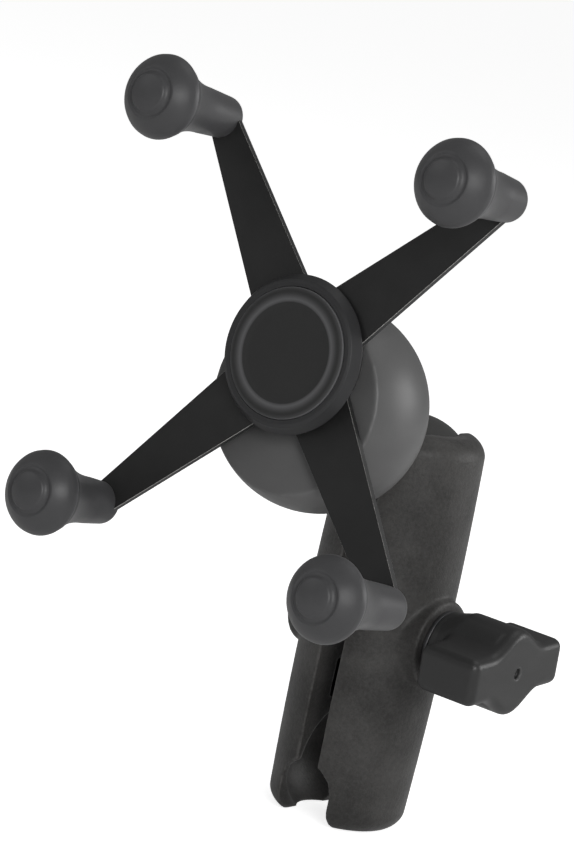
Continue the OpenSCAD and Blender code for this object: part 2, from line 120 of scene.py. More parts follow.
# Along the legs' pivot, towards the phone, with x to the right and y up.
ON_PIVOT = place(joint("leg_a_spread")["pos_m"], -Vector(joint("leg_a_spread")["axis"]), RIGHT)


def node_mesh(node):
    return frame["nodes"][node].data


def span(node, at):
    """The lowest and highest corners of a CAD node in a local frame."""
    turned = np.array(at.inverted())
    points = np.array([v.co for v in node_mesh(node).vertices]) @ turned[:3, :3].T + turned[:3, 3]
    return Vector(points.min(0)), Vector(points.max(0))


def centred(node):
    """A frame along the pivot through a CAD node's middle, and the node's corners in it."""
    middle = sum(span(node, ON_PIVOT), Vector()) / 2
    at = ON_PIVOT @ Matrix.Translation((middle.x, middle.y, 0))
    return (at, *span(node, at))


# ---- mesh tools ----

def new_object(name, mesh):
    piece = bpy.data.objects.new(name, mesh)
    bpy.context.scene.collection.objects.link(piece)
    return piece


def build(name, points, faces, at=Matrix.Identity(4)):
    """A smooth-shaded object from points in a local frame."""
    mesh = bpy.data.meshes.new(name)
    mesh.from_pydata([at @ Vector(p) for p in points], [], faces)
    solid = bmesh.new()
    solid.from_mesh(mesh)
    bmesh.ops.recalc_face_normals(solid, faces=solid.faces)
    solid.to_mesh(mesh)
    solid.free()
    mesh.shade_smooth()
    return new_object(name, mesh)


def settle(piece):
    """Applies the modifiers of a piece to its mesh."""
    graph = bpy.context.evaluated_depsgraph_get()
    graph.update()
    mesh = bpy.data.meshes.new_from_object(piece.evaluated_get(graph))
    piece.modifiers.clear()
    piece.data = mesh
    mesh.shade_smooth()
    return piece


def modify(piece, kind, **settings):
    made = piece.modifiers.new(kind.lower(), kind)
    for key, value in settings.items():
        setattr(made, key, value)


def copy_of(node, name):
    """A new piece with a CAD node's shape, welded into one closed mesh whose flat faces are whole."""
    weld, flat = 0.001 * MM, math.radians(0.5)
    solid = bmesh.new()
    solid.from_mesh(node_mesh(node))
    bmesh.ops.remove_doubles(solid, verts=solid.verts, dist=weld)
    bmesh.ops.dissolve_limit(solid, angle_limit=flat, verts=solid.verts, edges=solid.edges)
    points = [v.co.copy() for v in solid.verts]
    solid.verts.index_update()
    faces = [[v.index for v in f.verts] for f in solid.faces]
    solid.free()
    return build(name, points, faces)


def bevelled(node, name, width):
    """A copy of a CAD node with its hard edges rounded off."""
    hard = math.radians(35)
    piece = copy_of(node, name)
    modify(piece, "BEVEL", width=width, segments=2, limit_method="ANGLE", angle_limit=hard,
           miter_outer="MITER_ARC")
    modify(piece, "WEIGHTED_NORMAL", keep_sharp=False, weight=80)
    return settle(piece)


def weights(piece, name, rule):
    """A vertex group whose weights come from a rule on each vertex's place."""
    group = piece.vertex_groups.new(name=name)
    for v in piece.data.vertices:
        weight = rule(v.co)
        if weight > 0:
            group.add([v.index], min(weight, 1), "REPLACE")


def moulded(piece, voxel, passes):
    """Remeshes a closed piece evenly and relaxes it, as a casting or moulding has no sharp edge."""
    modify(piece, "REMESH", mode="VOXEL", voxel_size=voxel)
    modify(piece, "SMOOTH", factor=0.5, iterations=passes)
    return settle(piece)


def mark_edges(piece, reach):
    """Stores in the attribute "edge" how sharply the surface turns outward, from 0 to 1."""
    mesh = piece.data
    count = len(mesh.vertices)
    points = np.empty(count * 3)
    mesh.vertices.foreach_get("co", points)
    points = points.reshape(-1, 3)
    normals = np.array([v.vector for v in mesh.vertex_normals])
    pairs = np.empty(len(mesh.edges) * 2, dtype=int)
    mesh.edges.foreach_get("vertices", pairs)
    a, b = pairs.reshape(-1, 2).T
    links = np.bincount(np.r_[a, b], minlength=count).astype(float)

    def spread(values):
        """The mean of the neighbours' values."""
        total = np.bincount(a, values[b], count) + np.bincount(b, values[a], count)
        return total / np.maximum(links, 1)

    middle = np.stack([spread(points[:, i]) for i in range(3)], 1)
    turn = ((points - middle) * normals).sum(1)
    length = np.linalg.norm(points[a] - points[b], axis=1)
    turn /= np.maximum(np.bincount(a, length, count) + np.bincount(b, length, count), 1e-9) / links
    for _ in range(reach):
        turn = 0.5 * turn + 0.5 * spread(turn)
    edge = np.clip(turn / max(np.percentile(turn, 99.5), 1e-6), 0, 1)
    mesh.attributes.new("edge", "FLOAT", "POINT").data.foreach_set("value", edge.astype(np.float32))
    return piece


def arc(centre, radius, start, end, steps=8):
    """Points of an arc in the plane of an outline, with its angles in degrees."""
    turns = [math.radians(start + (end - start) * i / steps) for i in range(steps + 1)]
    return [(centre[0] + radius * math.cos(t), centre[1] + radius * math.sin(t)) for t in turns]


def rounded(corners):
    """An outline whose corners (r, z, radius) are replaced by curves of about that radius."""
    steps, line = 6, []
    for i, (r, z, radius) in enumerate(corners):
        here = Vector((r, z))
        if radius <= 0 or i in (0, len(corners) - 1):
            line.append(tuple(here))
            continue
        back = Vector(corners[i - 1][:2]) - here
        ahead = Vector(corners[i + 1][:2]) - here
        half = back.angle(ahead) / 2
        most = 0.49 * min(back.length, ahead.length)
        reach = min(radius / math.tan(half), most)
        first, last = here + back.normalized() * reach, here + ahead.normalized() * reach
        for k in range(steps + 1):
            t = k / steps
            line.append(tuple(first * (1 - t) ** 2 + here * 2 * t * (1 - t) + last * t ** 2))
    return line


def lathe(name, outline, at, steps):
    """Turns an open outline of (radius, height) points about the local z axis."""
    points, rings = [], []
    for r, z in outline:
        if r < 1e-7:
            rings.append([len(points)] * steps)
            points.append((0, 0, z))
            continue
        rings.append(list(range(len(points), len(points) + steps)))
        turns = [2 * math.pi * k / steps for k in range(steps)]
        points += [(r * math.cos(t), r * math.sin(t), z) for t in turns]
    faces = []
    for low, high in zip(rings, rings[1:]):
        for k in range(steps):
            n = (k + 1) % steps
            corners = list(dict.fromkeys((low[k], low[n], high[n], high[k])))
            if len(corners) > 2:
                faces.append(corners)
    return build(name, points, faces, at)


def loft(name, rings, at):
    """A closed object through rings of as many points each, with a flat face at both ends."""
    count = len(rings[0])
    faces = []
    for i in range(len(rings) - 1):
        here, there = i * count, (i + 1) * count
        for k in range(count):
            n = (k + 1) % count
            faces.append((here + k, here + n, there + n, there + k))
    last = count * (len(rings) - 1)
    faces += [tuple(range(count)), tuple(range(last, last + count))]
    return build(name, [p for ring in rings for p in ring], faces, at)


def wire(name, path, radius, at):
    """A round wire along a path that winds about the local z axis."""
    line = [Vector(p) for p in path]
    rings, sides, last = [], 16, len(line) - 1
    turns = [2 * math.pi * k / sides for k in range(sides)]
    for i, centre in enumerate(line):
        run = (line[min(i + 1, last)] - line[max(i - 1, 0)]).normalized()
        out = Vector((centre.x, centre.y, 0)).normalized()
        side = run.cross(out).normalized()
        rings.append([centre + radius * (out * math.cos(t) + side * math.sin(t)) for t in turns])
    return loft(name, rings, at)


# ---- shader expressions ----

class Value:
    """A node's output on which arithmetic can be written."""

    def __init__(self, finish, socket):
        self.finish = finish
        self.socket = socket

    def math(self, operation, *numbers):
        return self.finish.node("ShaderNodeMath", {"operation": operation}, dict(enumerate(numbers)))

    def __add__(self, other):
        return self.math("ADD", self, other)

    def __sub__(self, other):
        return self.math("SUBTRACT", self, other)

    def __rsub__(self, other):
        return self.math("SUBTRACT", other, self)

    def __mul__(self, other):
        return self.math("MULTIPLY", self, other)

    __radd__ = __add__
    __rmul__ = __mul__

    def between(self, low, high):
        """0 at or under low, 1 at or over high, and smooth from one to the other."""
        return self.finish.node(
            "ShaderNodeMapRange", {"interpolation_type": "SMOOTHSTEP"},
            {"Value": self, "From Min": low, "From Max": high})


class Finish:
    """A material whose nodes are written as expressions."""

    def __init__(self, name):
        self.material = bpy.data.materials.new(name)
        self.material.use_nodes = True
        self.tree = self.material.node_tree
        self.tree.nodes.clear()
        self.here = self.node("ShaderNodeTexCoord", output="Object")

    def node(self, kind, settings=None, inputs=None, output=0):
        """Adds a node, with its settings first and then its sockets' values or links."""
        made = self.tree.nodes.new(kind)
        for key, value in (settings or {}).items():
            setattr(made, key, value)
        for key, value in (inputs or {}).items():
            if isinstance(value, Value):
                self.tree.links.new(value.socket, made.inputs[key])
            else:
                made.inputs[key].default_value = value
        return Value(self, made.outputs[output])

    def noise(self, size, detail=3.0, roughness=0.5, stretch=None):
        """Smooth noise whose features are about size across."""
        where = self.here
        if stretch:
            where = self.node("ShaderNodeVectorMath", {"operation": "MULTIPLY"}, {0: where, 1: stretch})
        return self.node("ShaderNodeTexNoise", None, {
            "Vector": where, "Scale": 1 / size, "Detail": detail, "Roughness": roughness})

    def cells(self, size):
        """Distance to the nearest of scattered points about size apart."""
        return self.node("ShaderNodeTexVoronoi", None, {"Vector": self.here, "Scale": 1 / size})

    def attribute(self, name):
        return self.node("ShaderNodeAttribute", {"attribute_name": name}, output="Fac")

    def mix(self, factor, first, second):
        """A colour between two colours."""
        return self.node("ShaderNodeMix", {"data_type": "RGBA"}, {0: factor, 6: first, 7: second}, output=2)

    def bump(self, height, depth, strength):
        return self.node("ShaderNodeBump", None, {"Height": height, "Distance": depth, "Strength": strength})

    def surface(self, **sockets):
        """The shader, with its sockets named with underscores."""
        named = {key.replace("_", " "): value for key, value in sockets.items()}
        shader = self.node("ShaderNodeBsdfPrincipled", None, named)
        end = self.tree.nodes.new("ShaderNodeOutputMaterial")
        self.tree.links.new(shader.socket, end.inputs["Surface"])
        return self.material


def rgba(colour, factor=1.0):
    return (*(min(c * factor, 1.0) for c in colour), 1.0)


def powder_coat(look):
    """Matt textured coat on die-cast metal, with pale clouding and a painted highlight along its outward edges."""
    coat = Finish("powder_coat")
    cloud = coat.noise(12 * MM, 3, 0.5).between(0.22, 0.82)
    speck = coat.noise(0.8 * MM, 3, 0.65)
    fine = coat.noise(0.32 * MM, 2, 0.6)
    # A patchy painted highlight along the outward edges, in a paler coat colour.
    edge_highlight = coat.attribute("edge").between(0.3, 1.0) * coat.noise(1.6 * MM, 3, 0.7).between(0.3, 0.65)
    mottle = cloud * 0.65 + (speck - 0.5) * 0.8 + (fine - 0.5) * 0.5
    tone = coat.mix(mottle, rgba(look.coat), rgba(look.coat_cloud))
    tone = coat.mix(edge_highlight * 0.35, tone, rgba(look.coat_edge_highlight))
    grain = fine + coat.cells(0.75 * MM) * 0.5 + coat.noise(2.4 * MM, 2) * 0.6
    return coat.surface(
        Base_Color=tone, Roughness=0.6 - 0.1 * speck - 0.06 * cloud, Specular_IOR_Level=0.35,
        Normal=coat.bump(grain, 0.06 * MM, 0.8), Sheen_Weight=0.08, Sheen_Roughness=0.45)


def moulded_plastic(look, name, colour, rough, grain_depth):
    """Dark glass-filled plastic from a spark-eroded mould, with a painted highlight along its outward edges."""
    plastic = Finish(name)
    flow = plastic.noise(14 * MM, 3, 0.5, stretch=(1.0, 0.6, 1.5)).between(0.35, 0.7)
    speck = plastic.noise(0.3 * MM, 2)
    # A painted highlight along the outward edges, in a paler colour.
    edge_highlight = plastic.attribute("edge").between(0.3, 1.0)
    tone = plastic.mix(flow * 0.4 + speck * 0.3, rgba(colour), rgba(colour, 1.3))
    tone = plastic.mix(edge_highlight * 0.3, tone, rgba(look.plastic_edge_highlight))
    return plastic.surface(
        Base_Color=tone, Roughness=rough + 0.1 * speck - 0.06 * flow, Specular_IOR_Level=0.4,
        Normal=plastic.bump(speck + plastic.noise(0.9 * MM, 2) * 0.6, grain_depth, 0.7))


def moulded_rubber(look, name, colour, rough):
    """Satin rubber with a faint bloom and a painted highlight on its rim."""
    rubber = Finish(name)
    bloom = rubber.noise(7 * MM, 4, 0.6).between(0.3, 0.8)
    dust = rubber.noise(0.35 * MM, 2, 0.7)
    # A painted highlight on the rim, in a paler colour.
    rim = rubber.attribute("edge").between(0.25, 0.95)
    tone = rubber.mix(bloom * 0.35 + dust * 0.25, rgba(colour), rgba(colour, 1.3))
    tone = rubber.mix(rim * 0.4, tone, rgba(look.rubber_rim_highlight))
    return rubber.surface(
        Base_Color=tone, Roughness=rough + 0.1 * bloom - 0.06 * dust, Specular_IOR_Level=0.35,
        Normal=rubber.bump(dust + rubber.noise(1.4 * MM, 2) * 0.5, 0.018 * MM, 0.7),
        Sheen_Weight=0.06, Sheen_Roughness=0.4)


def coated_sheet(look):
    """Black coat on rolled faces, thinner on the sheared edges, with a painted highlight along the bevelled
    corners.
    """
    sheet = Finish("coated_sheet")
    normal = sheet.node("ShaderNodeTexCoord", output="Normal")
    facing = sheet.node(
        "ShaderNodeVectorMath", {"operation": "DOT_PRODUCT"},
        {0: normal, 1: tuple(Vector(joint("leg_a_spread")["axis"]))}, output="Value")
    flat = facing.math("ABSOLUTE", facing)
    cut = 1 - flat.between(0.1, 0.5)
    ragged = sheet.noise(0.5 * MM, 3, 0.7)
    # The bevelled corners get a painted highlight: a pale, less metallic colour that shows as bright lines.
    slant = flat.between(0.12, 0.4) * (1 - flat.between(0.8, 0.97))
    corner = slant * (0.45 + 0.55 * ragged.between(0.3, 0.6))
    brushed = sheet.noise(0.4 * MM, 3, 0.5, stretch=(1.0, 1.0, 0.15))
    black = sheet.mix(sheet.noise(6 * MM, 3), rgba(look.leg_black), rgba(look.leg_black, 1.9))
    tone = sheet.mix(cut, black, rgba(look.leg_cut))
    return sheet.surface(
        Base_Color=sheet.mix(corner, tone, rgba(look.leg_corner_highlight)),
        Metallic=corner * 0.35, Roughness=0.36 + 0.16 * brushed, Specular_IOR_Level=0.4,
        Normal=sheet.bump(brushed + ragged * cut, 0.02 * MM, 0.6))


def plated(name, colour, rough, scratch=0.35):
    """Bare or plated metal with fine turning or handling marks."""
    metal = Finish(name)
    streak = metal.noise(scratch * MM, 4, 0.6, stretch=(1.0, 0.2, 1.0))
    dull = metal.noise(4 * MM, 4, 0.6).between(0.4, 0.7)
    return metal.surface(
        Base_Color=metal.mix(dull * 0.6, rgba(colour), rgba(colour, 0.72)), Metallic=1.0,
        Roughness=rough + 0.16 * dull + 0.1 * streak, Normal=metal.bump(streak, 0.01 * MM, 0.5))


def natural_nylon(look):
    nylon = Finish("natural_nylon")
    cloud = nylon.noise(3 * MM, 3)
    return nylon.surface(
        Base_Color=nylon.mix(cloud, rgba(look.nylon), rgba(look.nylon, 0.86)),
        Roughness=0.38 + 0.1 * cloud, Normal=nylon.bump(nylon.noise(0.4 * MM, 2), 0.01 * MM, 0.5))


def stage_paint(look):
    """White paper that glows as a lit floor does, and lights the object only faintly."""
    paint = Finish("stage_paint")
    faint = paint.noise(60 * MM, 3)
    seen = paint.node("ShaderNodeLightPath", output="Is Camera Ray")
    glow = paint.mix(seen, rgba(look.floor, FLOOR_LIGHT_SHARE), rgba(look.floor))
    return paint.surface(
        Base_Color=paint.mix(faint, rgba(look.floor), rgba(look.floor, 0.985)), Roughness=0.9,
        Specular_IOR_Level=0.0, Emission_Color=glow, Emission_Strength=FLOOR_GLOW)


# ---- settings ----

def length_property(label, text, default, low=0.0):
    return FloatProperty(name=label, description=text, default=default, min=low, unit="LENGTH", precision=5)


def colour_property(label, text, default):
    return FloatVectorProperty(
        name=label, description=text, default=default, subtype="COLOR", min=0.0, max=1.0)


class MountSizes(bpy.types.PropertyGroup):
    """Sizes of the detail that the visible pieces have beyond the frame."""

    casting_grid: length_property("Casting grid", "Mesh spacing of the cast arm halves", 0.34 * MM, 0.2 * MM)
    housing_grid: length_property("Housing grid", "Mesh spacing of the domed housing", 0.42 * MM, 0.2 * MM)
    knob_grid: length_property("Knob grid", "Mesh spacing of the wing knob", 0.3 * MM, 0.2 * MM)
    knob_round: length_property("Knob rounding", "Radius of the wing's edges", 1.9 * MM)
    wing_thick: length_property("Wing thickness", "Thickness of the wing at its ends", 9.6 * MM)
    wing_swell: length_property("Swelling", "How far the swelling reaches along the wing", 9.7 * MM)
    stem_height: length_property("Stem height", "Height of the knob's stem under the wing", 3.9 * MM)
    boss_fillet: length_property("Boss fillet", "Width of the fillet round the arm's boss", 3.2 * MM)
    sheet_edge: length_property("Sheet edge", "Rounding of the legs' sheared edges", 0.26 * MM)
    metal_edge: length_property("Metal edge", "Rounding of the edges of turned pieces", 0.25 * MM)
    part_wire: length_property("Parting wire", "Wire diameter of the spring between the halves", 1.2 * MM)
    leg_wire: length_property("Torsion wire", "Wire diameter of the torsion spring", 1.6 * MM)
    cap_crown: length_property("Cap crown", "How far a cap's face is crowned", 5 * MM)
    cap_rim: length_property("Cap rim", "Thickness of a cap's rim", 1.4 * MM)
    neck_radius: length_property("Cap neck", "Radius of a cap where its flare begins", 4.6 * MM)
    foot_radius: length_property("Cap foot", "Radius of a cap round the end of the leg", 4.2 * MM)
    foot_round: length_property("Foot rounding", "Radius of the foot's rounded end", 2.2 * MM)
    flare: length_property("Flare length", "Length of the flare behind a cap's head", 13 * MM)
    flare_radius: length_property("Flare radius", "Radius of the flare's hollow side", 25 * MM)
    pivot_bore: length_property("Pivot bore", "Radius of the cover's hole for the pivot bolt", 2.55 * MM)
    groove: length_property("Ring groove", "Radius of the ring pressed into a cap's face", 4.3 * MM)
    wing_angle: FloatProperty(
        name="Wing angle", description="How far the wing's rear end stands above level",
        default=math.radians(5), subtype="ANGLE")
    turning_steps: IntProperty(
        name="Turning steps", description="Sides of the turned pieces", default=96, min=24, max=256)


class MountColours(bpy.types.PropertyGroup):
    """Colours of the finishes."""

    coat: colour_property("Arm coat", "Powder coat of the arm", (0.022, 0.021, 0.020))
    coat_cloud: colour_property("Coat clouding", "Paler clouds in the arm's coat", (0.075, 0.073, 0.070))
    # Colour of the painted highlight along the arm's edges.
    coat_edge_highlight: colour_property("Highlighted coat", "Highlit edges of the arm", (0.12, 0.117, 0.112))
    # Colour of the painted highlight along the plastic pieces' edges.
    plastic_edge_highlight: colour_property("Plastic edge", "Highlit edges of the plastic pieces", (0.20, 0.20, 0.20))
    knob: colour_property("Knob", "Wing knob", (0.025, 0.025, 0.025))
    housing: colour_property("Housing", "Domed housing of the hub", (0.092, 0.092, 0.092))
    cover: colour_property("Cover", "Front cover of the hub", (0.022, 0.022, 0.023))
    cap: colour_property("Caps", "Rubber caps", (0.054, 0.054, 0.056))
    ball: colour_property("Ball", "Rubber of the ball", (0.036, 0.036, 0.035))
    rest: colour_property("Rest", "Rubber disc behind the phone", (0.020, 0.020, 0.020))
    # Colour of the painted highlight on the rubber pieces' rims.
    rubber_rim_highlight: colour_property("Rubber rim", "Paler rims of the rubber pieces", (0.26, 0.26, 0.27))
    leg_black: colour_property("Leg coat", "Black coat of the legs", (0.010, 0.010, 0.010))
    leg_cut: colour_property("Cut edge", "Thin coat on the sheared edges of the legs", (0.022, 0.022, 0.022))
    # Colour of the painted highlight along the legs' corners.
    leg_corner_highlight: colour_property("Leg corners", "Highlit corners of the legs", (0.62, 0.61, 0.59))
    steel: colour_property("Steel", "Plated steel", (0.62, 0.62, 0.60))
    # Drawn wire, partly its own dark steel and partly painted shade: kept dark so that the washer in this finish
    # shows as a shaded gap between knob and arm.
    spring: colour_property("Spring", "Drawn wire", (0.14, 0.14, 0.145))
    aluminium: colour_property("Aluminium", "Bare aluminium", (0.70, 0.70, 0.71))
    brass: colour_property("Brass", "Thread insert", (0.72, 0.53, 0.24))
    nylon: colour_property("Nylon", "Thin washers", (0.72, 0.70, 0.64))
    floor: colour_property("Floor", "Floor under the object", (0.86, 0.86, 0.86))


def sizes():
    return bpy.context.scene.mount_sizes


def colours():
    return bpy.context.scene.mount_colours


def finish(slot):
    """The material for a slot of the record, made once."""
    look = colours()
    makers = {
        "arm_powder_coat": lambda: powder_coat(look),
        "knob_plastic": lambda: moulded_plastic(look, "knob_plastic", look.knob, 0.40, 0.016 * MM),
        "hub_plastic": lambda: moulded_plastic(look, "hub_plastic", look.housing, 0.40, 0.012 * MM),
        "cover_plastic": lambda: moulded_plastic(look, "cover_plastic", look.cover, 0.46, 0.02 * MM),
        "cap_rubber": lambda: moulded_rubber(look, "cap_rubber", look.cap, 0.43),
        "ball_rubber": lambda: moulded_rubber(look, "ball_rubber", look.ball, 0.62),
        "pad_rubber": lambda: moulded_rubber(look, "pad_rubber", look.rest, 0.66),
        "leg_coat": lambda: coated_sheet(look),
        "plated_steel": lambda: plated("plated_steel", look.steel, 0.30),
        "spring_steel": lambda: plated("spring_steel", look.spring, 0.36),
        "bare_aluminium": lambda: plated("bare_aluminium", look.aluminium, 0.32, 0.25),
        "brass": lambda: plated("turned_brass", look.brass, 0.28),
        "nylon": lambda: natural_nylon(look),
    }
    key = "finish_" + slot
    if key not in bpy.data.materials:
        made = makers[slot]()
        made.name = key
    return bpy.data.materials[key]


def slot_of(node):
    return next(s["material_slot"] for s in frame["record"]["subparts"] if s["node"] == node)


def body_of(node):
    bodies = frame["record"]["behaviour"]["bodies"]
    return next(name for name, nodes in bodies.items() if node in nodes)


def look_of(piece, node):
    """Gives a piece the finish of the CAD node that it replaces."""
    piece.data.materials.clear()
    piece.data.materials.append(finish(slot_of(node)))
    slot_of(node)
    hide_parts(node)
    return piece


def stand_for(piece, node):
    """Gives a piece the finish and the body of the CAD node that it replaces."""
    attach(look_of(piece, node), body_of(node))
    return piece


def dress(*nodes):
    """Gives CAD nodes that stay their finish."""
    for node in nodes:
        for slot in frame["nodes"][node].material_slots:
            slot.material = finish(slot_of(node))


# ---- pieces ----

def arm_casting(node, name):
    """An arm half with cast edges and a fillet round its boss."""
    size = sizes()
    piece = moulded(copy_of(node, name), size.casting_grid, 4)
    low, high = span("knob_washer", ON_BOLT)
    boss_rim, inside = 1.9 * MM, 8 * MM
    boss = (high.x - low.x) / 2 + boss_rim
    inverse = ON_BOLT.inverted()

    def near_boss(point):
        """Weight round the boss's foot, on the outer side of a half."""
        local = inverse @ point
        off = abs(math.hypot(local.x, local.y) - boss - 0.25 * size.boss_fillet)
        return max(0.0, 1 - (off / size.boss_fillet) ** 2) if abs(local.z) > inside else 0.0

    weights(piece, "boss", near_boss)
    modify(piece, "SMOOTH", factor=0.5, iterations=24, vertex_group="boss")
    settle(piece)
    return stand_for(mark_edges(piece, 3), node)


def wing_section(half, back, front, inset, corner):
    """A rounded rectangle across the wing, as (y, z), drawn in by inset all round."""
    wide, low, high = half - inset - corner, back + inset + corner, front - inset - corner
    line = []
    for y, z, start in ((wide, high, 0), (-wide, high, 90), (-wide, low, 180), (wide, low, 270)):
        line += arc((y, z), corner, start, start + 90, 6)
    return line


def knob_wing(at, high, back):
    """The wing: rounded sections along its length, thicker round the bolt."""
    size = sizes()
    round_r, half_thick, finest = size.knob_round, size.wing_thick / 2, 0.02 * MM
    sections, steps = [], 72
    for i in range(steps + 1):
        u = -high.x * math.cos(math.pi * i / steps)
        swell = 0.5 + 0.5 * math.cos(math.pi * min(abs(u) / size.wing_swell, 1))
        half = half_thick + (high.y - half_thick) * swell
        past = max(0.0, abs(u) - (high.x - round_r))
        inset = round_r - math.sqrt(max(round_r ** 2 - past ** 2, 0))
        corner = max(round_r - inset, finest)
        sections.append([(u, y, z) for y, z in wing_section(half, back, high.z, inset, corner)])
    return loft("wing_knob", sections, at)


def joined(first, *others):
    """One object from several."""
    solid = bmesh.new()
    for piece in (first, *others):
        solid.from_mesh(piece.data)
    solid.to_mesh(first.data)
    solid.free()
    for piece in others:
        bpy.data.objects.remove(piece)
    return first


def cut_away(piece, tool):
    """Cuts the tool's shape out of a piece and removes the tool."""
    modify(piece, "BOOLEAN", operation="DIFFERENCE", object=tool, solver="EXACT")
    settle(piece)
    bpy.data.objects.remove(tool)


def wing_knob():
    """The wing on its round stem, bored for the thread insert, with a moulding mark in its face."""
    size = sizes()
    at = ON_BOLT @ Matrix.Rotation(math.pi / 2 + size.wing_angle, 4, "Z")
    low, high = span("clamp_knob", at)
    foot, back, front = low.z, low.z + size.stem_height, high.z
    stem = span("knob_washer", ON_BOLT)[1].x + 0.35 * MM
    top, top_z, waist = high.y - 0.3 * MM, front - 3 * MM, 1.2 * MM
    outline = rounded([
        (0, foot, 0), (stem, foot, 0.5 * MM), (stem - 0.1 * MM, foot + waist, 1.5 * MM),
        (top, back + waist, 2 * MM), (top, top_z, 0), (0, top_z, 0)])
    knob = joined(knob_wing(at, high, back), lathe("stem", outline, at, size.turning_steps))
    moulded(knob, size.knob_grid, 5)

    insert = span("knob_insert", ON_BOLT)[1]
    under = foot - MM
    bore = [(0, under), (insert.x, under), (insert.x, insert.z), (0, insert.z)]
    cut_away(knob, lathe("bore", bore, at, size.turning_steps))

    gate, edge = 1.1 * MM, 0.3 * MM
    dimple = rounded([
        (0, front - gate, 0), (gate, front - gate, 0.4 * MM), (gate, front - edge, 0),
        (gate * 1.5, front + edge, 0), (0, front + edge, 0)])
    cut_away(knob, lathe("dimple", dimple, at, 48))
    return stand_for(mark_edges(knob, 3), "clamp_knob")


def stretch(piece, node, bodies, at, start, end):
    """Gives a spring the finish of the node that it stands for, hides that node and bakes the spring's place into
    its mesh.
    """
    look_of(piece, node)
    first, last = (at @ Vector((0, 0, z)) for z in (start, end))
    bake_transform(piece)


def parting_coil():
    """The round-wire spring between the arm halves, with its end turns closed."""
    low, high = span("parting_spring", ON_BOLT)
    radius = sizes().part_wire / 2
    mean, length = high.x - radius, high.z - low.z - 2 * radius
    turns, steps, closing = 5, 36, 0.55
    path = []
    for i in range(turns * steps + 1):
        t = i / (turns * steps)
        rise = t - math.sin(2 * math.pi * t) / (2 * math.pi) * closing
        a = 2 * math.pi * turns * t
        path.append((mean * math.cos(a), mean * math.sin(a), low.z + radius + length * rise))
    piece = wire("parting_coil", path, radius, ON_BOLT)
    stretch(piece, "parting_spring", (body_of("far_arm_half"), body_of("near_arm_half")), ON_BOLT,
            low.z + 2 * radius, high.z - 2 * radius)


def leg_spring():
    """The torsion spring in two lengths of wire, each ending in one of its hooks."""
    wire_d = sizes().leg_wire
    radius, bend = wire_d / 2, 0.9 * wire_d
    low, high = span("torsion_spring", ON_PIVOT)
    inner, outer = high.x - radius, -low.y - radius
    half_turns, steps = 7, 18
    begin = bend / outer - math.pi / 2
    turn = half_turns * math.pi - bend / outer - bend / inner
    back = low.z + radius
    front = back + (outer - inner) * turn / (2 * math.pi)
    run_out = math.radians(60)

    def at(reach, angle, z):
        return (reach * math.cos(angle), reach * math.sin(angle), z)

    def coil(angle):
        out = math.sin(math.pi / 2 * max(0, 1 - angle / run_out)) ** 2
        return at(inner + (outer - inner) * out, begin + angle, back + (front - back) * angle / turn)

    def bent(reach, angle, z, way):
        """A quarter bend from the coil's run to the pivot's."""
        return [at(reach, angle + way * math.sin(b) * bend / reach, z + (1 - math.cos(b)) * bend)
                for b in (math.pi * i / 8 for i in range(1, 5))]

    coils = [coil(turn * i / (half_turns * steps)) for i in range(half_turns * steps + 1)]
    coils += bent(inner, begin + turn, front, 1)
    coils.append(at(inner, math.pi / 2, span("leg_bar_b", ON_PIVOT)[1].z))
    hook = [coil(0)] + bent(outer, begin, back, -1) + [at(outer, -math.pi / 2, high.z)]
    face = span("rear_shim", ON_PIVOT)[0].z
    for name, path, bar, end in (
            ("spring_coils", coils, "leg_bar_b", front - radius), ("spring_hook", hook, "leg_bar_a", face)):
        stretch(wire(name, path, radius, ON_PIVOT), "torsion_spring",
                (body_of("torsion_spring"), body_of(bar)), ON_PIVOT, back + radius, end)


def cap_face(head, front, size):
    """The crowned face of a cap, from its rim to its middle, with a ring pressed in."""
    bend = (head ** 2 + size.cap_crown ** 2) / (2 * size.cap_crown)
    steps, crowding = 44, 1.15
    width, deep = 0.75 * MM, 0.5 * MM
    soft, drop = 0.7 * MM, 0.12 * MM
    line = []
    for i in range(steps + 1):
        r = (head - 0.05 * MM) * (1 - (i / steps) ** crowding)
        z = front - bend + math.sqrt(bend ** 2 - r ** 2)
        edge = max(0.0, 1 - (head - r) / soft)
        dip = max(0.0, 1 - ((r - size.groove) / width) ** 2)
        line.append((r - drop * edge, z - deep * dip * dip * (3 - 2 * dip)))
    return line


def cap_outline(low, high, size):
    """Foot, neck, long flare, rounded rim and crowned face of a cap, from its rear to its front."""
    head = high.x
    rim_r = 0.6 * MM
    lip = head - 0.5 * MM
    rim_back = high.z - size.cap_crown - size.cap_rim
    neck_end = rim_back - size.flare
    foot_end = low.z + size.foot_round
    line = [(0, low.z)]
    line += arc((size.foot_radius - size.foot_round, foot_end), size.foot_round, -90, 0, 10)
    steps = 3
    for i in range(1, steps + 1):
        line.append((size.foot_radius + (size.neck_radius - size.foot_radius) * i / steps,
                     foot_end + (neck_end - foot_end) * i / steps))
    steps = 18
    for i in range(1, steps + 1):
        rise = size.flare * i / steps
        swell = size.flare_radius - math.sqrt(size.flare_radius ** 2 - rise ** 2)
        line.append((min(size.neck_radius + swell, lip), neck_end + rise))
    line += arc((head - rim_r, rim_back + rim_r), rim_r, -75, 0, 8)
    return line + cap_face(head, high.z, size)


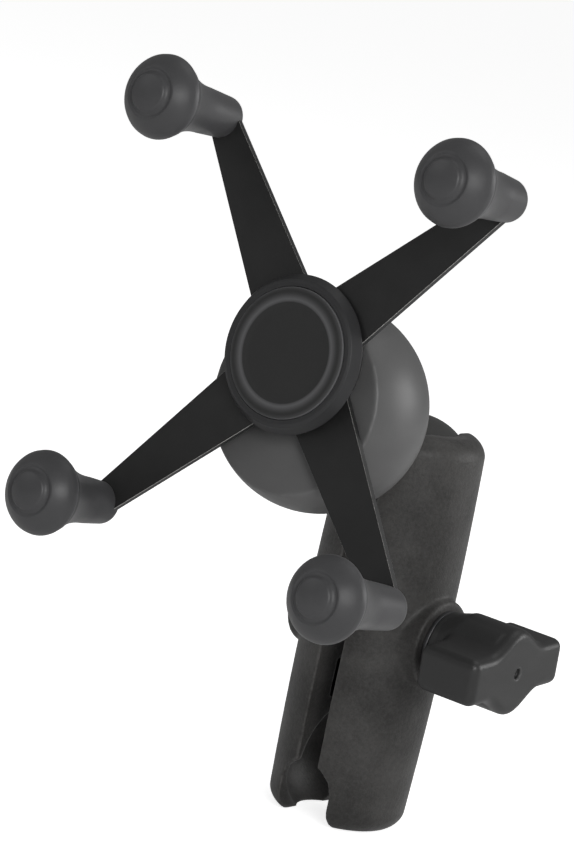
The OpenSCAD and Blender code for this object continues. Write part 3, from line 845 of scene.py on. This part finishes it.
def cap(node, name):
    """A rubber cap over a post and the end of its leg."""
    size = sizes()
    at, low, high = centred(node)
    piece = lathe(name, cap_outline(low, high, size), at, 72)
    # A band round the back of the head's rim, stored as "edge", where the rubber gets its painted highlight.
    rim, band, outer = high.z - size.cap_crown - size.cap_rim + 0.3 * MM, 0.6 * MM, 0.93
    inverse = at.inverted()
    edge = np.zeros(len(piece.data.vertices), np.float32)
    for v in piece.data.vertices:
        local = inverse @ v.co
        out = math.hypot(local.x, local.y) / high.x
        edge[v.index] = max(0.0, 1 - abs(local.z - rim) / band) if out > outer else 0.0
    piece.data.attributes.new("edge", "FLOAT", "POINT").data.foreach_set("value", edge)
    return stand_for(piece, node)


def hub_cover():
    """The round cover in front of the legs, with the recess for the rest disc."""
    size = sizes()
    at, low, high = centred("hub_cover")
    pad_low, pad_high = span("hub_pad", at)
    bolt_high = span("pivot_bolt", at)[1]
    play, edge, slope = 0.05 * MM, 0.3 * MM, 1.3 * MM
    recess, seat = pad_high.x + play, pad_low.z
    face_r = high.x - slope
    head_r, head_back = bolt_high.x + 0.2 * MM, bolt_high.z - MM
    bore = size.pivot_bore
    outline = rounded([
        (bore, low.z, 0), (high.x - edge, low.z, 0), (high.x, low.z + edge, edge),
        (face_r + 0.1 * MM, high.z - edge, edge), (face_r - 0.5 * MM, high.z, 0.4 * MM),
        (recess, high.z, edge), (recess, seat, 0.1 * MM), (head_r, seat, 0.2 * MM),
        (head_r, head_back, 0.1 * MM), (bore, head_back, 0), (bore, low.z, 0)])
    piece = lathe("front_cover", outline, at, size.turning_steps)
    return stand_for(mark_edges(piece, 1), "hub_cover")


def rest_disc():
    """The rubber disc that the phone's back lies on, with a shallow dish in its face."""
    at, low, high = centred("hub_pad")
    edge, small = high.x, 0.3 * MM
    inner, slope, dish = edge - 2.4 * MM, 1.8 * MM, 0.35 * MM
    line = rounded([
        (0, low.z, 0), (edge, low.z, small), (edge, high.z - small, small),
        (edge - 0.8 * MM, high.z, 0.7 * MM), (inner, high.z, 0)])
    steps = 24
    for i in range(1, steps + 1):
        r = inner * (1 - i / steps)
        sink = min((inner - r) / slope, 1)
        line.append((r, high.z - dish * sink * sink * (3 - 2 * sink)))
    piece = lathe("rest_disc", line, at, sizes().turning_steps)
    return stand_for(mark_edges(piece, 1), "hub_pad")


# ---- operators ----

class AddStage(bpy.types.Operator):
    """Add the camera, the floor, the soft lights and the white surround"""

    bl_idname = "phone_mount.add_stage"
    bl_label = "Stage"
    bl_options = {"REGISTER", "UNDO"}

    def execute(self, context):
        scene = bpy.context.scene
        lens = bpy.data.cameras.new("camera")
        lens.lens, lens.sensor_width, lens.sensor_fit = CAMERA_LENS, CAMERA_SENSOR, "AUTO"
        lens.clip_start, lens.clip_end = 0.01, 20
        camera = new_object("camera", lens)
        turn = Matrix((CAMERA_RIGHT, CAMERA_UP, CAMERA_RIGHT.cross(CAMERA_UP))).transposed()
        camera.matrix_world = Matrix.Translation(CAMERA_AT) @ turn.to_4x4()
        scene.camera = camera
        scene.view_settings.view_transform = "Standard"
        self.floor()
        self.lights()
        self.world()
        return {"FINISHED"}

    def floor(self):
        level = CAD_BOX[0][2] - 0.05 * MM
        half = 12.0
        corners = [(-half, -half, level), (half, -half, level), (half, half, level), (-half, half, level)]
        sheet = build("floor", corners, [(0, 1, 2, 3)])
        sheet.data.materials.append(stage_paint(colours()))

    def lights(self):
        """Large soft boxes that face the object's middle."""
        middle = Vector([(a + b) / 2 for a, b in zip(*CAD_BOX)])
        for name, (offset, side, power) in LIGHTS.items():
            lamp = bpy.data.lights.new(name, "AREA")
            lamp.shape, lamp.size, lamp.energy = "SQUARE", side, power
            lamp_object = new_object(name, lamp)
            lamp_object.location = middle + Vector(offset)
            lamp_object.rotation_euler = (-Vector(offset)).to_track_quat("-Z", "Y").to_euler()

    def world(self):
        """A white surround that lights the object only faintly."""
        world = bpy.data.worlds.new("studio")
        world.use_nodes = True
        nodes, links = world.node_tree.nodes, world.node_tree.links
        seen = nodes.new("ShaderNodeLightPath").outputs["Is Camera Ray"]
        strength = nodes.new("ShaderNodeMapRange")
        strength.inputs["To Min"].default_value = SURROUND_LIGHT
        strength.inputs["To Max"].default_value = SURROUND_SEEN
        links.new(seen, strength.inputs["Value"])
        nodes["Background"].inputs["Color"].default_value = (1, 1, 1, 1)
        links.new(strength.outputs[0], nodes["Background"].inputs["Strength"])
        bpy.context.scene.world = world


class AddArm(bpy.types.Operator):
    """Add the two cast halves of the clamp arm"""

    bl_idname = "phone_mount.add_arm"
    bl_label = "Arm halves"
    bl_options = {"REGISTER", "UNDO"}

    def execute(self, context):
        arm_casting("far_arm_half", "far_casting")
        arm_casting("near_arm_half", "near_casting")
        return {"FINISHED"}


class AddClamp(bpy.types.Operator):
    """Add the clamp bolt, its washer and the spring that parts the halves"""

    bl_idname = "phone_mount.add_clamp"
    bl_label = "Bolt, washer and spring"
    bl_options = {"REGISTER", "UNDO"}

    def execute(self, context):
        edge = sizes().metal_edge
        stand_for(bevelled("clamp_bolt", "square_neck_bolt", edge), "clamp_bolt")
        stand_for(bevelled("knob_washer", "plain_washer", 0.15 * MM), "knob_washer")
        parting_coil()
        dress("knob_insert")
        return {"FINISHED"}


class AddKnob(bpy.types.Operator):
    """Add the moulded wing knob"""

    bl_idname = "phone_mount.add_knob"
    bl_label = "Wing knob"
    bl_options = {"REGISTER", "UNDO"}

    def execute(self, context):
        wing_knob()
        return {"FINISHED"}


class AddBall(bpy.types.Operator):
    """Add the ball, its rubber coat and the fixings on its stud"""

    bl_idname = "phone_mount.add_ball"
    bl_label = "Ball and stud"
    bl_options = {"REGISTER", "UNDO"}

    def execute(self, context):
        edge = sizes().metal_edge
        stand_for(bevelled("ball_core", "turned_ball_stud", edge), "ball_core")
        stand_for(mark_edges(bevelled("ball_jacket", "ball_coat", edge), 1), "ball_jacket")
        stand_for(bevelled("stud_nut", "locking_nut", edge), "stud_nut")
        dress("stud_washer")
        return {"FINISHED"}


class AddHub(bpy.types.Operator):
    """Add the domed housing, the front cover, the rest disc and the pivot's pieces"""

    bl_idname = "phone_mount.add_hub"
    bl_label = "Hub"
    bl_options = {"REGISTER", "UNDO"}

    def execute(self, context):
        housing = moulded(copy_of("hub_housing", "domed_housing"), sizes().housing_grid, 4)
        stand_for(mark_edges(housing, 3), "hub_housing")
        hub_cover()
        rest_disc()
        leg_spring()
        dress("pivot_bush", "pivot_bolt", "rear_shim", "middle_shim", "front_shim")
        return {"FINISHED"}


class AddLegs(bpy.types.Operator):
    """Add the two sheet-metal bars and the riveted posts"""

    bl_idname = "phone_mount.add_legs"
    bl_label = "Legs and posts"
    bl_options = {"REGISTER", "UNDO"}

    def execute(self, context):
        for name in "ab":
            node = "leg_bar_" + name
            stand_for(bevelled(node, "sheet_bar_" + name, sizes().sheet_edge), node)
        dress("post_upper_right", "post_lower_left", "post_upper_left", "post_lower_right")
        return {"FINISHED"}


class AddCaps(bpy.types.Operator):
    """Add the four rubber caps"""

    bl_idname = "phone_mount.add_caps"
    bl_label = "Caps"
    bl_options = {"REGISTER", "UNDO"}

    def execute(self, context):
        for corner in ("upper_right", "lower_left", "upper_left", "lower_right"):
            cap("cap_" + corner, "boot_" + corner)
        return {"FINISHED"}


STEPS = (AddStage, AddArm, AddClamp, AddKnob, AddBall, AddHub, AddLegs, AddCaps)


class VIEW3D_PT_phone_mount(bpy.types.Panel):
    """Lists the steps and the settings of the phone mount"""

    bl_label = "Phone mount"
    bl_space_type = "VIEW_3D"
    bl_region_type = "UI"
    bl_category = "Phone mount"

    def draw(self, context):
        column = self.layout.column(align=True)
        for step in STEPS:
            column.operator(step.bl_idname)
        for group in (context.scene.mount_sizes, context.scene.mount_colours):
            box = self.layout.box()
            for name in group.__annotations__:
                box.prop(group, name)


CLASSES = (MountSizes, MountColours, *STEPS, VIEW3D_PT_phone_mount)


def register():
    for cls in CLASSES:
        bpy.utils.register_class(cls)
    bpy.types.Scene.mount_sizes = PointerProperty(type=MountSizes)
    bpy.types.Scene.mount_colours = PointerProperty(type=MountColours)


def unregister():
    del bpy.types.Scene.mount_colours
    del bpy.types.Scene.mount_sizes
    for cls in reversed(CLASSES):
        bpy.utils.unregister_class(cls)


def main():
    register()
    for step in STEPS:
        getattr(bpy.ops.phone_mount, step.bl_idname.split(".")[1])()


if __name__ == "__main__":
    main()
